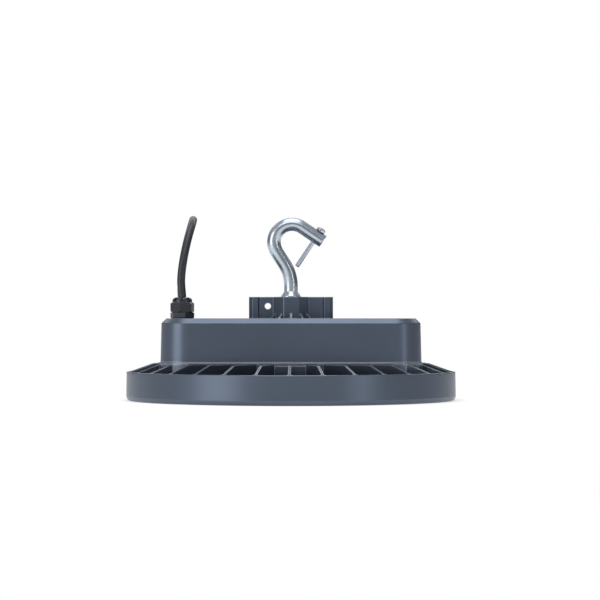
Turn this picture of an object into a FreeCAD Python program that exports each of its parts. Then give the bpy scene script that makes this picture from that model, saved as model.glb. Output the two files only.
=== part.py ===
"""High bay light: a round die-cast LED luminaire with a driver housing and a hook.

Millimetres. +Z is up as the light hangs, -Y is the front and the origin is the
centre of the heat sink's rim at its foot, on which the light also stands.
"""
import FreeCAD, Part
import math
import os

import Sketcher
from FreeCAD import Placement, Rotation, Vector

UP = Vector(0, 0, 1)

doc = FreeCAD.newDocument("high_bay_light")
sheet = doc.addObject("Spreadsheet::Sheet", "sizes")

SIZES = [
    # heat sink
    ("rim_radius", 145.0, "rim, outside, at the foot"),
    ("rim_top_radius", 144.6, "rim, outside, at the top: the casting's draft"),
    ("rim_height", 25.2, "rim, foot to top edge"),
    ("rim_wall", 3.0, "rim wall at the top"),
    ("rim_foot_wall", 5.4, "rim wall at the foot: the draft of its inner face"),
    ("rim_foot_round", 4.2, "round along the foot of the rim"),
    ("rim_edge_round", 0.8, "round along the top edge of the rim"),
    ("fin_count", 32, "radial fins"),
    ("fin_turn", -0.57, "first fin, degrees from the X axis"),
    ("fin_half", 1.0, "half a fin's thickness"),
    ("fin_root", 2.5, "radius of the fin's flare into the rim"),
    ("fin_inner", 66.0, "where the fins start, inside the platform wall"),
    ("fin_foot", 3.0, "lower edge of the fins"),
    ("fin_crown", 32.5, "upper edge of the fins"),
    ("slope_radius", 121.5, "where the fins start to fall towards the rim"),
    ("plate_radius", 121.5, "base plate and the skirt round the lens"),
    ("plate_foot", 8.0, "underside of the base plate"),
    ("plate_top", 13.0, "floor of the driver compartment"),
    ("skirt_wall", 3.0, "skirt wall"),
    ("skirt_foot", 1.5, "lower edge of the skirt"),
    ("platform_half_length", 113.0, "platform wall, half its length"),
    ("platform_half_depth", 71.0, "platform wall, half its depth"),
    ("platform_corner", 26.0, "platform wall, corner radius"),
    ("platform_wall", 4.0, "platform wall thickness"),
    ("platform_top", 32.6, "seat of the driver housing"),
    ("seat_pad_half", 16.5, "half the length of the pad on the platform wall"),
    ("seat_pad_depth", 2.0, "how far the pad stands out"),
    ("seat_pad_top", 31.2, "top of the pad"),
    ("pillar_radius", 7.0, "pillars and columns of the housing screws"),
    ("pillar_bore", 2.3, "radius of the bore in a pillar"),
    ("counterbore", 4.1, "radius of the counterbore under a pillar"),
    ("screw_corner_x", 97.5, "housing screws in the corners"),
    ("screw_corner_y", 56.0, "housing screws in the corners"),
    ("screw_middle_y", 61.0, "housing screws in the middle of the long sides"),
    ("screw_seat", 25.0, "where the heads of the housing screws bear"),
    ("notch_width", 2.6, "opening notches along the platform's edge"),
    ("notch_pitch", 33.4, "spacing of the notches"),
    ("notch_height", 1.2, "height of the notches"),
    ("notch_depth", 1.6, "depth of the notches"),
    ("tap_depth", 4.0, "blind tapping holes in the plate"),
    ("wire_hole_x", -62.0, "hole for the lead to the LEDs"),
    ("wire_hole_y", 36.0, "hole for the lead to the LEDs"),
    ("wire_hole_radius", 5.0, "hole for the lead to the LEDs"),
    # driver housing
    ("gasket_height", 0.5, "pressed gasket under the housing"),
    ("lip_height", 1.3, "lip along the foot of the housing"),
    ("lip_reach", 1.1, "how far the lip stands out"),
    ("lip_round", 1.0, "round along the lip's upper edge"),
    ("shell_half_length", 112.5, "housing, half its length at the foot"),
    ("shell_half_depth", 70.5, "housing, half its depth at the foot"),
    ("shell_corner", 25.5, "housing, corner radius at the foot"),
    ("shell_draft", 1.5, "draft of the housing's walls, degrees"),
    ("shell_wall", 3.2, "housing wall and roof"),
    ("shell_top", 71.9, "top face of the housing"),
    ("shell_bevel", 4.2, "bevel along the housing's top edge"),
    ("bevel_round", 1.0, "rounds along both edges of that bevel"),
    ("column_height", 16.0, "screw columns inside the housing"),
    ("column_hole", 2.05, "radius of the tapping hole in a column"),
    ("column_hole_depth", 13.0, "depth of that hole"),
    # boss of the hook, cast on the housing
    ("boss_top", 90.8, "top face of the boss"),
    ("boss_flats", 31.0, "octagon of the boss, across flats"),
    ("boss_round", 2.6, "round of the octagon's corners"),
    ("post_flats", 10.8, "octagonal posts, across flats"),
    ("post_offset", 31.6, "post from the middle"),
    ("post_round", 1.2, "round of the posts' corners"),
    ("web_half", 3.5, "half the thickness of the webs"),
    ("gusset_reach", 20.5, "how far the gussets run out on the roof"),
    ("gusset_height", 5.0, "gussets, height above the roof"),
    ("gusset_half", 0.8, "half a gusset's thickness"),
    ("gusset_count", 12, "gussets round the foot of the boss"),
    ("safety_hole_radius", 2.65, "hole for the safety cable"),
    ("safety_hole_offset", 20.4, "safety hole from the middle"),
    ("safety_hole_level", 82.7, "safety hole, height of its axis"),
    ("post_hole_radius", 2.1, "tapping hole in each post"),
    ("post_hole_depth", 12.0, "depth of that hole"),
    # hook
    ("rod_radius", 6.0, "hook rod"),
    ("collar_radius", 8.6, "shoulder of the hook on the boss"),
    ("collar_height", 4.8, "height of the shoulder's cone"),
    ("collar_band", 0.8, "straight band under the cone"),
    ("shank_foot", 56.0, "lower end of the threaded shank"),
    ("shank_top", 100.0, "where the shank starts to bend"),
    ("bend_radius", 37.0, "reverse bend, centre line"),
    ("loop_radius", 15.9, "loop, centre line"),
    ("loop_offset", 0.9, "loop's centre from the shank's axis"),
    ("loop_level", 139.0, "height of the loop's centre"),
    ("arm_droop", 34.0, "fall of the arm, degrees"),
    ("arm_length", 22.4, "straight arm to the tip"),
    ("tip_round", 0.9, "round of the tip's edge"),
    ("pin_from_tip", 7.0, "gate screw from the tip"),
    ("pin_radius", 2.0, "gate screw"),
    ("pin_reach", 31.3, "gate screw, from the arm's axis to its free end"),
    ("pin_head_radius", 4.1, "head of the gate screw"),
    ("pin_head_height", 3.4, "height of that head"),
    ("washer_height", 2.4, "washer under the roof"),
    ("hook_nut_flats", 18.0, "nut on the shank, across flats"),
    ("hook_nut_height", 8.0, "nut on the shank"),
    # cable gland
    ("gland_offset", 95.85, "gland from the middle"),
    ("gland_flats", 19.0, "gland, across flats"),
    ("gland_hex_height", 5.1, "hexagon of the gland's body"),
    ("gland_hex_bevel", 0.8, "bevel round the foot of that hexagon"),
    ("gland_neck_radius", 7.9, "threaded neck"),
    ("gland_neck_length", 13.0, "neck under the hexagon"),
    ("o_ring_section", 1.2, "rubber ring round the neck"),
    ("gland_collar_radius", 7.2, "collar that the cap screws on"),
    ("gland_collar_rise", 6.6, "collar over the hexagon"),
    ("locknut_flats", 21.0, "gland's locknut, across flats"),
    ("locknut_height", 4.5, "gland's locknut"),
    ("gland_cap_foot", 77.2, "lower edge of the cap"),
    ("gland_cap_shoulder", 86.0, "where the cap's dome starts"),
    ("gland_cap_top", 90.4, "top of the cap"),
    ("flute_count", 8, "recesses round the cap's dome"),
    # supply cable
    ("cable_radius", 3.6, "supply cable"),
    ("coil_radius", 42.0, "coil, middle of its turns"),
    ("coil_centre", 202.0, "coil's centre behind the middle"),
    ("coil_height", 13.6, "height of the coil"),
    ("strip_level", 46.0, "where the sheath ends inside the housing"),
    ("core_radius", 1.3, "insulated core"),
    ("core_length", 24.0, "core past the end of the sheath"),
    ("ferrule_radius", 0.85, "ferrule on a core"),
    ("ferrule_length", 8.0, "ferrule past the insulation"),
    # light engine
    ("board_radius", 104.0, "LED board"),
    ("board_thickness", 1.6, "LED board"),
    ("chip_side", 3.0, "LED package"),
    ("chip_height", 0.7, "LED package"),
    ("chip_pitch", 5.0, "spacing of the LEDs under one dome"),
    ("ring_pitch", 27.0, "spacing of the rings of domes"),
    ("lens_radius", 116.8, "lens plate"),
    ("lens_flange_inner", 105.0, "inner edge of the lens plate's flange"),
    ("lens_flange_foot", 4.0, "underside of the lens plate's flange"),
    ("lens_flange_top", 7.0, "top of the flange, under its gasket"),
    ("lens_sheet_foot", 2.8, "underside of the lens plate"),
    ("lens_sheet_top", 4.6, "upper face of the lens plate"),
    ("dome_radius", 11.0, "dome over four LEDs"),
    ("dome_rise", 2.0, "how far a dome stands down"),
    ("lens_screw_circle", 112.0, "circle of the lens screws"),
    ("board_screw_circle", 97.0, "circle of the LED board's screws"),
    # driver
    ("driver_length", 140.0, "driver, along X"),
    ("driver_depth", 76.0, "driver, along Y"),
    ("driver_height", 30.0, "driver"),
    ("driver_offset", 25.0, "driver's middle from the light's middle"),
    ("ear_length", 10.0, "driver's mounting ears"),
    ("ear_height", 2.0, "driver's mounting ears"),
    ("ear_hole_offset", 25.0, "ear screws from the driver's axis"),
    ("ear_hole", 2.2, "radius of the holes in the ears"),
    # terminal block
    ("terminal_length", 16.0, "terminal block, along X"),
    ("terminal_depth", 30.0, "terminal block, along Y"),
    ("terminal_height", 18.0, "terminal block"),
    ("terminal_pitch", 7.0, "spacing of the terminals"),
    ("terminal_inset", 12.0, "wire entries from the gland's axis"),
]
for row, (alias, number, note) in enumerate(SIZES, start=1):
    sheet.set(f"A{row}", note)
    sheet.set(f"B{row}", str(number))
    sheet.setAlias(f"B{row}", alias)
doc.recompute()


def value(formula):
    """A sum such as "rim_radius - 2*rim_wall", worked out from the sheet's cells."""
    total = 0.0
    sign = 1.0
    for word in formula.split():
        if word in ("+", "-"):
            sign = 1.0 if word == "+" else -1.0
            continue
        product = 1.0
        for factor in word.split("*"):
            product *= float(sheet.get(factor)) if factor[0].isalpha() else float(factor)
        total += sign * product
    return total


def negative(formula):
    """The same sum with each sign turned."""
    words = formula.split()
    if words[0] not in ("+", "-"):
        words.insert(0, "+")
    turned = [{"+": "-", "-": "+"}.get(word, word) for word in words]
    return " ".join(turned)


def less(first, second):
    return f"{first} {negative(second)}"


def bound(formula):
    """The same sum as an expression that follows the sheet."""
    words = []
    for word in formula.split():
        factors = word.split("*")
        words.append("*".join("sizes." + f if f[0].isalpha() else f for f in factors))
    return " ".join(words).removeprefix("+ ")


# --- sketches -------------------------------------------------------------


def origin_plane(body, role):
    for feature in body.Origin.OriginFeatures:
        if feature.Role == role:
            return feature
    raise ValueError(role)


def sketch_on(body, name, plane, level=None, turn=None):
    """A sketch on an origin plane of its body, moved out by level and turned in its plane."""
    sketch = body.newObject("Sketcher::SketchObject", name)
    sketch.AttachmentSupport = [(origin_plane(body, plane + "_Plane"), "")]
    sketch.MapMode = "FlatFace"
    if level:
        sketch.setExpression("AttachmentOffset.Base.z", bound(level))
    if turn:
        sketch.setExpression("AttachmentOffset.Rotation.Angle", bound(turn))
    return sketch


def hold_point(sketch, geometry, end, formula_x, formula_y):
    """Ties a point of the sketch to its two coordinates."""
    rules = (("DistanceX", formula_x, -2), ("DistanceY", formula_y, -1))
    for rule, formula, axis in rules:
        if abs(value(formula)) < 1e-9:
            sketch.addConstraint(Sketcher.Constraint("PointOnObject", geometry, end, axis))
            continue
        number = sketch.addConstraint(
            Sketcher.Constraint(rule, -1, 1, geometry, end, value(formula)))
        sketch.setExpression(f"Constraints[{number}]", bound(formula))


def hold_radius(sketch, geometry, formula):
    number = sketch.addConstraint(Sketcher.Constraint("Radius", geometry, value(formula)))
    sketch.setExpression(f"Constraints[{number}]", bound(formula))


def outline(sketch, corners):
    """A closed outline. A corner is (x, y), or (x, y, radius, side) where an arc follows it,
    which turns left (side 1) or right (side -1)."""
    points = [Vector(value(corner[0]), value(corner[1]), 0) for corner in corners]
    ends = []
    for index, corner in enumerate(corners):
        start = points[index]
        end = points[(index + 1) % len(points)]
        if len(corner) == 2:
            geometry = sketch.addGeometry(Part.LineSegment(start, end), False)
            ends.append((geometry, 1, 2))
            continue
        radius = value(corner[2])
        side = corner[3]
        chord = end - start
        left = Vector(-chord.y, chord.x, 0).normalize()
        sagitta = radius - math.sqrt(max(radius ** 2 - (chord.Length / 2) ** 2, 0))
        middle = (start + end) * 0.5 - left * sagitta * side
        if side > 0:
            geometry = sketch.addGeometry(Part.Arc(start, middle, end), False)
            ends.append((geometry, 1, 2))
        else:
            geometry = sketch.addGeometry(Part.Arc(end, middle, start), False)
            ends.append((geometry, 2, 1))
    for index, (geometry, start_end, last_end) in enumerate(ends):
        following, following_start, _ = ends[(index + 1) % len(ends)]
        sketch.addConstraint(
            Sketcher.Constraint("Coincident", geometry, last_end, following, following_start))
    for corner, (geometry, start_end, _) in zip(corners, ends):
        hold_point(sketch, geometry, start_end, corner[0], corner[1])
        if len(corner) == 4:
            hold_radius(sketch, geometry, corner[2])


def rounded_rectangle(sketch, half_x, half_y, corner):
    """A rectangle about the sketch's origin with round corners, from its right side on."""
    inner_x = less(half_x, corner)
    inner_y = less(half_y, corner)
    outline(sketch, [
        (half_x, negative(inner_y)),
        (half_x, inner_y, corner, 1),
        (inner_x, half_y),
        (negative(inner_x), half_y, corner, 1),
        (negative(half_x), inner_y),
        (negative(half_x), negative(inner_y), corner, 1),
        (negative(inner_x), negative(half_y)),
        (inner_x, negative(half_y), corner, 1),
    ])


def circle(sketch, formula_x, formula_y, radius):
    centre = Vector(value(formula_x), value(formula_y), 0)
    geometry = sketch.addGeometry(Part.Circle(centre, UP, value(radius)), False)
    hold_point(sketch, geometry, 3, formula_x, formula_y)
    hold_radius(sketch, geometry, radius)


def regular_polygon(sketch, sides, across_flats, centre_x="0", turn=0.0):
    """A regular polygon with a flat towards the front, turned by turn degrees."""
    ratio = 0.5 / math.cos(math.pi / sides)
    corners = []
    for index in range(sides):
        angle = math.radians(turn - 90 + 360 * (index + 0.5) / sides)
        corners.append((f"{centre_x} + {ratio * math.cos(angle):.9f}*{across_flats}",
                        f"{ratio * math.sin(angle):.9f}*{across_flats}"))
    outline(sketch, corners)


# --- features -------------------------------------------------------------


def new_body(label):
    body = doc.addObject("PartDesign::Body", label)
    body.Label = label
    return body


def pad(body, name, sketch, length, draft=None, reversed_way=False, both_ways=False):
    feature = body.newObject("PartDesign::Pad", name)
    feature.Profile = sketch
    feature.setExpression("Length", bound(length))
    feature.Reversed = reversed_way
    feature.Midplane = both_ways
    if draft:
        feature.setExpression("TaperAngle", bound(draft))
    doc.recompute()
    return feature


def pocket(body, name, sketch, length, draft=None, reversed_way=False, both_ways=False):
    feature = body.newObject("PartDesign::Pocket", name)
    feature.Profile = sketch
    feature.setExpression("Length", bound(length))
    feature.Reversed = reversed_way
    feature.Midplane = both_ways
    if draft:
        feature.setExpression("TaperAngle", bound(draft))
    doc.recompute()
    return feature


def revolve(body, name, sketch, kind="Revolution"):
    """A full turn about the sketch's vertical axis."""
    feature = body.newObject("PartDesign::" + kind, name)
    feature.Profile = sketch
    feature.ReferenceAxis = (sketch, ["V_Axis"])
    feature.Angle = 360
    doc.recompute()
    return feature


def around_z(body, name, features, count):
    pattern = body.newObject("PartDesign::PolarPattern", name)
    pattern.Originals = features
    pattern.Axis = (origin_plane(body, "Z_Axis"), [""])
    pattern.Angle = 360
    pattern.setExpression("Occurrences", bound(count))
    body.Tip = pattern
    doc.recompute()
    return pattern


def mirror(body, name, features, plane):
    pattern = body.newObject("PartDesign::Mirrored", name)
    pattern.Originals = features
    pattern.MirrorPlane = (origin_plane(body, plane + "_Plane"), [""])
    body.Tip = pattern
    doc.recompute()
    return pattern


def fillet(body, name, radius, test):
    """Rounds the edges of the body's last feature that pass the test."""
    base = body.Tip
    names = [f"Edge{number}" for number, edge in enumerate(base.Shape.Edges, start=1)
             if test(edge)]
    feature = body.newObject("PartDesign::Fillet", name)
    feature.Base = (base, names)
    feature.setExpression("Radius", bound(radius))
    doc.recompute()
    return feature


def chamfer(body, name, size, test):
    """Bevels the edges of the body's last feature that pass the test."""
    base = body.Tip
    names = [f"Edge{number}" for number, edge in enumerate(base.Shape.Edges, start=1)
             if test(edge)]
    feature = body.newObject("PartDesign::Chamfer", name)
    feature.Base = (base, names)
    feature.setExpression("Size", bound(size))
    doc.recompute()
    return feature


def level_edge(edge, height, margin=1e-4):
    """Whether an edge lies flat at this height, give or take a margin."""
    box = edge.BoundBox
    return abs(box.ZMin - height) < margin and abs(box.ZMax - height) < margin


def upright_edge(edge):
    box = edge.BoundBox
    return box.XLength < 1e-4 and box.YLength < 1e-4


def solid_node(label, shape):
    """A sub-part whose form is worked out in code from the sheet."""
    feature = doc.addObject("Part::Feature", label)
    feature.Label = label
    feature.Shape = shape
    return feature


def rod(start, end, radius):
    """A straight round bar between two points."""
    return Part.makeCylinder(radius, (end - start).Length, start, end - start)


# --- fixing points shared by several pieces ----------------------------------

def on_circle(radius, count, first):
    """Places evenly round a circle, the first at this many degrees from the X axis."""
    turns = [math.radians(first + 360 * index / count) for index in range(count)]
    return [(radius * math.cos(turn), radius * math.sin(turn)) for turn in turns]


CORNER_X, CORNER_Y = value("screw_corner_x"), value("screw_corner_y")
MIDDLE_Y = value("screw_middle_y")
HOUSING_SCREWS = [(CORNER_X, CORNER_Y), (-CORNER_X, CORNER_Y), (-CORNER_X, -CORNER_Y),
                  (CORNER_X, -CORNER_Y), (0.0, MIDDLE_Y), (0.0, -MIDDLE_Y)]
BOARD_SCREWS = on_circle(value("board_screw_circle"), 6, 15)
LENS_SCREWS = on_circle(value("lens_screw_circle"), 8, 0)

# Screws: shank radius, length under the head, head radius, head height.
HOUSING_SCREW = (2.0, 20.0, 3.6, 2.6)
DRIVER_SCREW = (1.6, 5.2, 3.4, 2.2)
BOARD_SCREW = (1.25, 5.0, 2.6, 1.5)
LENS_SCREW = (1.45, 7.5, 2.9, 1.8)


def driver_screw_places():
    reach = value("0.5*driver_length + 0.5*ear_length")
    middle = value("driver_offset")
    side = value("ear_hole_offset")
    return [(middle + way * reach, across * side) for way in (1, -1) for across in (1, -1)]


def circles(sketch, places, radius):
    for x, y in places:
        circle(sketch, f"{x:.6f}", f"{y:.6f}", radius)


# --- heat sink: one die casting -----------------------------------------------


def make_heat_sink():
    body = new_body("heat_sink")

    section = sketch_on(body, "rim_section", "XZ")
    outline(section, [
        ("rim_radius - rim_foot_wall", "0"),
        ("rim_radius - rim_foot_round", "0", "rim_foot_round", 1),
        ("rim_radius", "rim_foot_round"),
        ("rim_top_radius", "rim_height - rim_edge_round", "rim_edge_round", 1),
        ("rim_top_radius - rim_edge_round", "rim_height"),
        ("rim_radius - rim_wall", "rim_height"),
    ])
    revolve(body, "rim", section)

    plan = sketch_on(body, "fin_plan", "XY", "fin_foot", "fin_turn")
    root = "rim_radius - rim_wall"
    outline(plan, [
        ("fin_inner", "- fin_half"),
        (f"{root} - fin_root", "- fin_half", "fin_root", -1),
        (root, "- fin_half - fin_root"),
        (f"{root} + 1", "- fin_half - fin_root"),
        (f"{root} + 1", "fin_half + fin_root"),
        (root, "fin_half + fin_root", "fin_root", -1),
        (f"{root} - fin_root", "fin_half"),
        ("fin_inner", "fin_half"),
    ])
    fin = pad(body, "fin", plan, "fin_crown - fin_foot")
    around_z(body, "fins", [fin], "fin_count")

    slope = sketch_on(body, "fin_slope_section", "XZ")
    outline(slope, [
        ("slope_radius", "fin_crown"),
        (root, "rim_height"),
        ("rim_radius + 1", "rim_height"),
        ("rim_radius + 1", "fin_crown + 1"),
        ("slope_radius", "fin_crown + 1"),
    ])
    revolve(body, "fin_slope", slope, "Groove")

    plate = sketch_on(body, "plate_section", "XZ")
    outline(plate, [
        ("0", "plate_foot"),
        ("plate_radius - skirt_wall", "plate_foot"),
        ("plate_radius - skirt_wall", "skirt_foot"),
        ("plate_radius", "skirt_foot"),
        ("plate_radius", "plate_top"),
        ("0", "plate_top"),
    ])
    revolve(body, "plate_and_skirt", plate)
    recess = sketch_on(body, "lens_recess_plan", "XY", "plate_foot")
    circle(recess, "0", "0", "plate_radius - skirt_wall")
    pocket(body, "lens_recess", recess, "plate_foot")

    platform = sketch_on(body, "platform_plan", "XY", "plate_foot")
    rounded_rectangle(platform, "platform_half_length", "platform_half_depth",
                      "platform_corner")
    pad(body, "platform", platform, "platform_top - plate_foot")

    seat_pad = sketch_on(body, "seat_pad_plan", "XY", "plate_top")
    face = "platform_half_depth + seat_pad_depth"
    outline(seat_pad, [
        ("seat_pad_half", negative(face)),
        ("seat_pad_half", face),
        ("- seat_pad_half", face),
        ("- seat_pad_half", negative(face)),
    ])
    pad(body, "seat_pad", seat_pad, "seat_pad_top - plate_top")

    inside = sketch_on(body, "compartment_plan", "XY", "platform_top")
    rounded_rectangle(inside, "platform_half_length - platform_wall",
                      "platform_half_depth - platform_wall",
                      "platform_corner - platform_wall")
    pocket(body, "compartment", inside, "platform_top - plate_top")

    pillars = sketch_on(body, "pillar_plan", "XY", "plate_top")
    circles(pillars, HOUSING_SCREWS, "pillar_radius")
    pad(body, "pillars", pillars, "platform_top - plate_top")

    bores = sketch_on(body, "pillar_bore_plan", "XY", "platform_top")
    circles(bores, HOUSING_SCREWS, "pillar_bore")
    pocket(body, "pillar_bores", bores, "platform_top - plate_foot")
    sinks = sketch_on(body, "counterbore_plan", "XY", "plate_foot")
    circles(sinks, HOUSING_SCREWS, "counterbore")
    pocket(body, "counterbores", sinks, "screw_seat - plate_foot", reversed_way=True)

    taps = sketch_on(body, "underside_taps_plan", "XY", "plate_foot")
    circles(taps, BOARD_SCREWS, f"{BOARD_SCREW[0]}")
    circles(taps, LENS_SCREWS, f"{LENS_SCREW[0]}")
    pocket(body, "underside_taps", taps, "tap_depth", reversed_way=True)

    floor_taps = sketch_on(body, "driver_taps_plan", "XY", "plate_top")
    circles(floor_taps, driver_screw_places(), f"{DRIVER_SCREW[0]} + 0.05")
    pocket(body, "driver_taps", floor_taps, "tap_depth")
    wire_hole = sketch_on(body, "wire_hole_plan", "XY", "plate_top")
    circle(wire_hole, "wire_hole_x", "wire_hole_y", "wire_hole_radius")
    pocket(body, "wire_hole", wire_hole, "plate_top - plate_foot")

    notch = sketch_on(body, "notch_profile", "XZ", "platform_half_depth + 0.5")
    for index in range(6):
        place = f"{index - 2.5}*notch_pitch"
        outline(notch, [
            (f"{place} - 0.5*notch_width", "platform_top - notch_height"),
            (f"{place} + 0.5*notch_width", "platform_top - notch_height"),
            (f"{place} + 0.5*notch_width", "platform_top + 0.5"),
            (f"{place} - 0.5*notch_width", "platform_top + 0.5"),
        ])
    front = pocket(body, "front_notches", notch, "notch_depth + 0.5")
    mirror(body, "back_notches", [front], "XZ")
    return body


# --- driver housing: one die casting with the boss of the hook ---------------


def make_driver_housing():
    body = new_body("driver_housing")
    seat = "platform_top + gasket_height"

    lip = sketch_on(body, "lip_plan", "XY", seat)
    rounded_rectangle(lip, "shell_half_length + lip_reach", "shell_half_depth + lip_reach",
                      "shell_corner + lip_reach")
    pad(body, "lip", lip, "lip_height")
    lip_top = value(f"{seat} + lip_height")
    fillet(body, "lip_edge", "lip_round", lambda edge: level_edge(edge, lip_top))

    walls = sketch_on(body, "wall_plan", "XY", seat)
    rounded_rectangle(walls, "shell_half_length", "shell_half_depth", "shell_corner")
    pad(body, "walls", walls, "shell_top - platform_top - gasket_height", "- shell_draft")
    roof = value("shell_top")
    chamfer(body, "top_bevel", "shell_bevel", lambda edge: level_edge(edge, roof))
    bevel_foot = roof - value("shell_bevel")
    fillet(body, "bevel_rounds", "bevel_round",
           lambda edge: level_edge(edge, roof) or level_edge(edge, bevel_foot, 0.4))

    inside = sketch_on(body, "inside_plan", "XY", seat)
    rounded_rectangle(inside, "shell_half_length - shell_wall",
                      "shell_half_depth - shell_wall", "shell_corner - shell_wall")
    pocket(body, "inside", inside, "shell_top - shell_wall - platform_top - gasket_height",
           "- shell_draft", reversed_way=True)

    octagon = sketch_on(body, "boss_plan", "XY", "shell_top")
    regular_polygon(octagon, 8, "boss_flats")
    pad(body, "boss", octagon, "boss_top - shell_top")
    corner = value("0.5*boss_flats") / math.cos(math.pi / 8)
    fillet(body, "boss_corners", "boss_round",
           lambda edge: upright_edge(edge) and edge.BoundBox.ZMin > roof - 1
           and math.hypot(edge.BoundBox.XMin, edge.BoundBox.YMin) < corner + 1)

    for side in ("", "- "):
        label = "right" if not side else "left"
        post = sketch_on(body, label + "_post_plan", "XY", "shell_top")
        regular_polygon(post, 8, "post_flats", f"{side}post_offset")
        pad(body, label + "_post", post, "boss_top - shell_top")
    post_middle = value("post_offset")
    fillet(body, "post_corners", "post_round",
           lambda edge: upright_edge(edge) and edge.BoundBox.ZMin > roof - 1
           and abs(edge.BoundBox.XMin) > post_middle - value("post_flats"))

    web = sketch_on(body, "web_plan", "XY", "shell_top")
    outline(web, [
        ("post_offset", "- web_half"),
        ("post_offset", "web_half"),
        ("- post_offset", "web_half"),
        ("- post_offset", "- web_half"),
    ])
    pad(body, "webs", web, "boss_top - shell_top")

    rib = sketch_on(body, "gusset_profile", "XZ")
    outline(rib, [
        ("0.3*boss_flats", "shell_top - 1"),
        ("gusset_reach", "shell_top - 1"),
        ("gusset_reach", "shell_top + 0.6"),
        ("0.5*boss_flats - 0.6", "shell_top + gusset_height"),
        ("0.3*boss_flats", "shell_top + gusset_height"),
    ])
    gusset = pad(body, "gusset", rib, "2*gusset_half", both_ways=True)
    around_z(body, "gussets", [gusset], "gusset_count")

    bore = sketch_on(body, "shank_bore_plan", "XY", "boss_top")
    circle(bore, "0", "0", "rod_radius + 0.2")
    pocket(body, "shank_bore", bore, "boss_top - shell_top + shell_wall")
    taps = sketch_on(body, "post_hole_plan", "XY", "boss_top")
    circle(taps, "post_offset", "0", "post_hole_radius")
    circle(taps, "- post_offset", "0", "post_hole_radius")
    pocket(body, "post_holes", taps, "post_hole_depth")
    safety = sketch_on(body, "safety_hole_plan", "XZ")
    circle(safety, "- safety_hole_offset", "safety_hole_level", "safety_hole_radius")
    pocket(body, "safety_hole", safety, "4*web_half", both_ways=True)
    gland = sketch_on(body, "gland_hole_plan", "XY", "shell_top")
    circle(gland, "- gland_offset", "0", "gland_neck_radius + 0.2")
    pocket(body, "gland_hole", gland, "shell_wall")
    seat_ring = sketch_on(body, "o_ring_seat_plan", "XY", "shell_top")
    circle(seat_ring, "- gland_offset", "0", "gland_neck_radius + o_ring_section")
    pocket(body, "o_ring_seat", seat_ring, "o_ring_section")

    columns = sketch_on(body, "screw_column_plan", "XY", seat)
    circles(columns, HOUSING_SCREWS, "pillar_radius")
    pad(body, "screw_columns", columns, "column_height")
    holes = sketch_on(body, "screw_hole_plan", "XY", seat)
    circles(holes, HOUSING_SCREWS, "column_hole")
    pocket(body, "screw_holes", holes, "column_hole_depth", reversed_way=True)
    return body


# --- hook: one bent and threaded rod -------------------------------------------


def hook_path():
    """The hook's centre line in X and Z: shank, reverse bend, loop and arm, all tangent."""
    bend = value("bend_radius")
    loop = value("loop_radius")
    bend_centre = Vector(-bend, value("shank_top"), 0)
    loop_centre = Vector(value("loop_offset"), value("loop_level"), 0)
    between = loop_centre - bend_centre
    lean = math.atan2(between.y, between.x) + math.asin((bend + loop) / between.Length)
    lean -= math.pi / 2
    across = Vector(math.cos(lean), math.sin(lean), 0)
    droop = math.radians(value("arm_droop"))
    out = Vector(math.sin(droop), math.cos(droop), 0)
    along = Vector(math.cos(droop), -math.sin(droop), 0)
    leave = loop_centre + out * loop
    half_way = (math.pi + lean + math.pi / 2 - droop) / 2
    return {
        "foot": Vector(0, value("boss_top + collar_band"), 0),
        "bend_start": Vector(0, value("shank_top"), 0),
        "bend_middle": bend_centre + Vector(math.cos(lean / 2), math.sin(lean / 2), 0) * bend,
        "bend_end": bend_centre + across * bend,
        "loop_start": loop_centre - across * loop,
        "loop_middle": loop_centre + Vector(math.cos(half_way), math.sin(half_way), 0) * loop,
        "loop_end": leave,
        "tip": leave + along * value("arm_length"),
        "along": along,
        "out": out,
    }


def make_hook():
    body = new_body("hook")
    section = sketch_on(body, "shank_section", "XZ")
    outline(section, [
        ("0", "shank_foot"),
        ("rod_radius - 1", "shank_foot"),
        ("rod_radius", "shank_foot + 1"),
        ("rod_radius", "boss_top"),
        ("collar_radius", "boss_top"),
        ("collar_radius", "boss_top + collar_band"),
        ("rod_radius", "boss_top + collar_height"),
        ("rod_radius", "boss_top + collar_height + 1"),
        ("0", "boss_top + collar_height + 1"),
    ])
    revolve(body, "shank", section)

    line = hook_path()
    spine = sketch_on(body, "hook_line", "XZ")
    pieces = [
        Part.LineSegment(line["foot"], line["bend_start"]),
        Part.Arc(line["bend_start"], line["bend_middle"], line["bend_end"]),
        Part.LineSegment(line["bend_end"], line["loop_start"]),
        Part.Arc(line["loop_end"], line["loop_middle"], line["loop_start"]),
        Part.LineSegment(line["loop_end"], line["tip"]),
    ]
    for piece in pieces:
        spine.addGeometry(piece, False)
    for first, first_end, second, second_end in ((0, 2, 1, 1), (1, 2, 2, 1), (2, 2, 3, 2),
                                                 (3, 1, 4, 1)):
        spine.addConstraint(
            Sketcher.Constraint("Tangent", first, first_end, second, second_end))
    hold_radius(spine, 1, "bend_radius")
    hold_radius(spine, 3, "loop_radius")
    rod_section = sketch_on(body, "rod_section", "XY", "boss_top + collar_band")
    circle(rod_section, "0", "0", "rod_radius")
    pipe = body.newObject("PartDesign::AdditivePipe", "bent_rod")
    pipe.Profile = rod_section
    pipe.Spine = (spine, [])
    doc.recompute()

    tip = line["tip"]
    tip_point = Vector(tip.x, 0, tip.y)
    fillet(body, "tip_edge", "tip_round",
           lambda edge: (edge.BoundBox.Center - tip_point).Length < 0.5)

    hole = body.newObject("PartDesign::SubtractiveCylinder", "gate_hole")
    hole.Radius = value("pin_radius + 0.1")
    hole.Height = value("4*rod_radius")
    hole.Placement = pin_placement(-2 * value("rod_radius"))
    doc.recompute()
    return body


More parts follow.
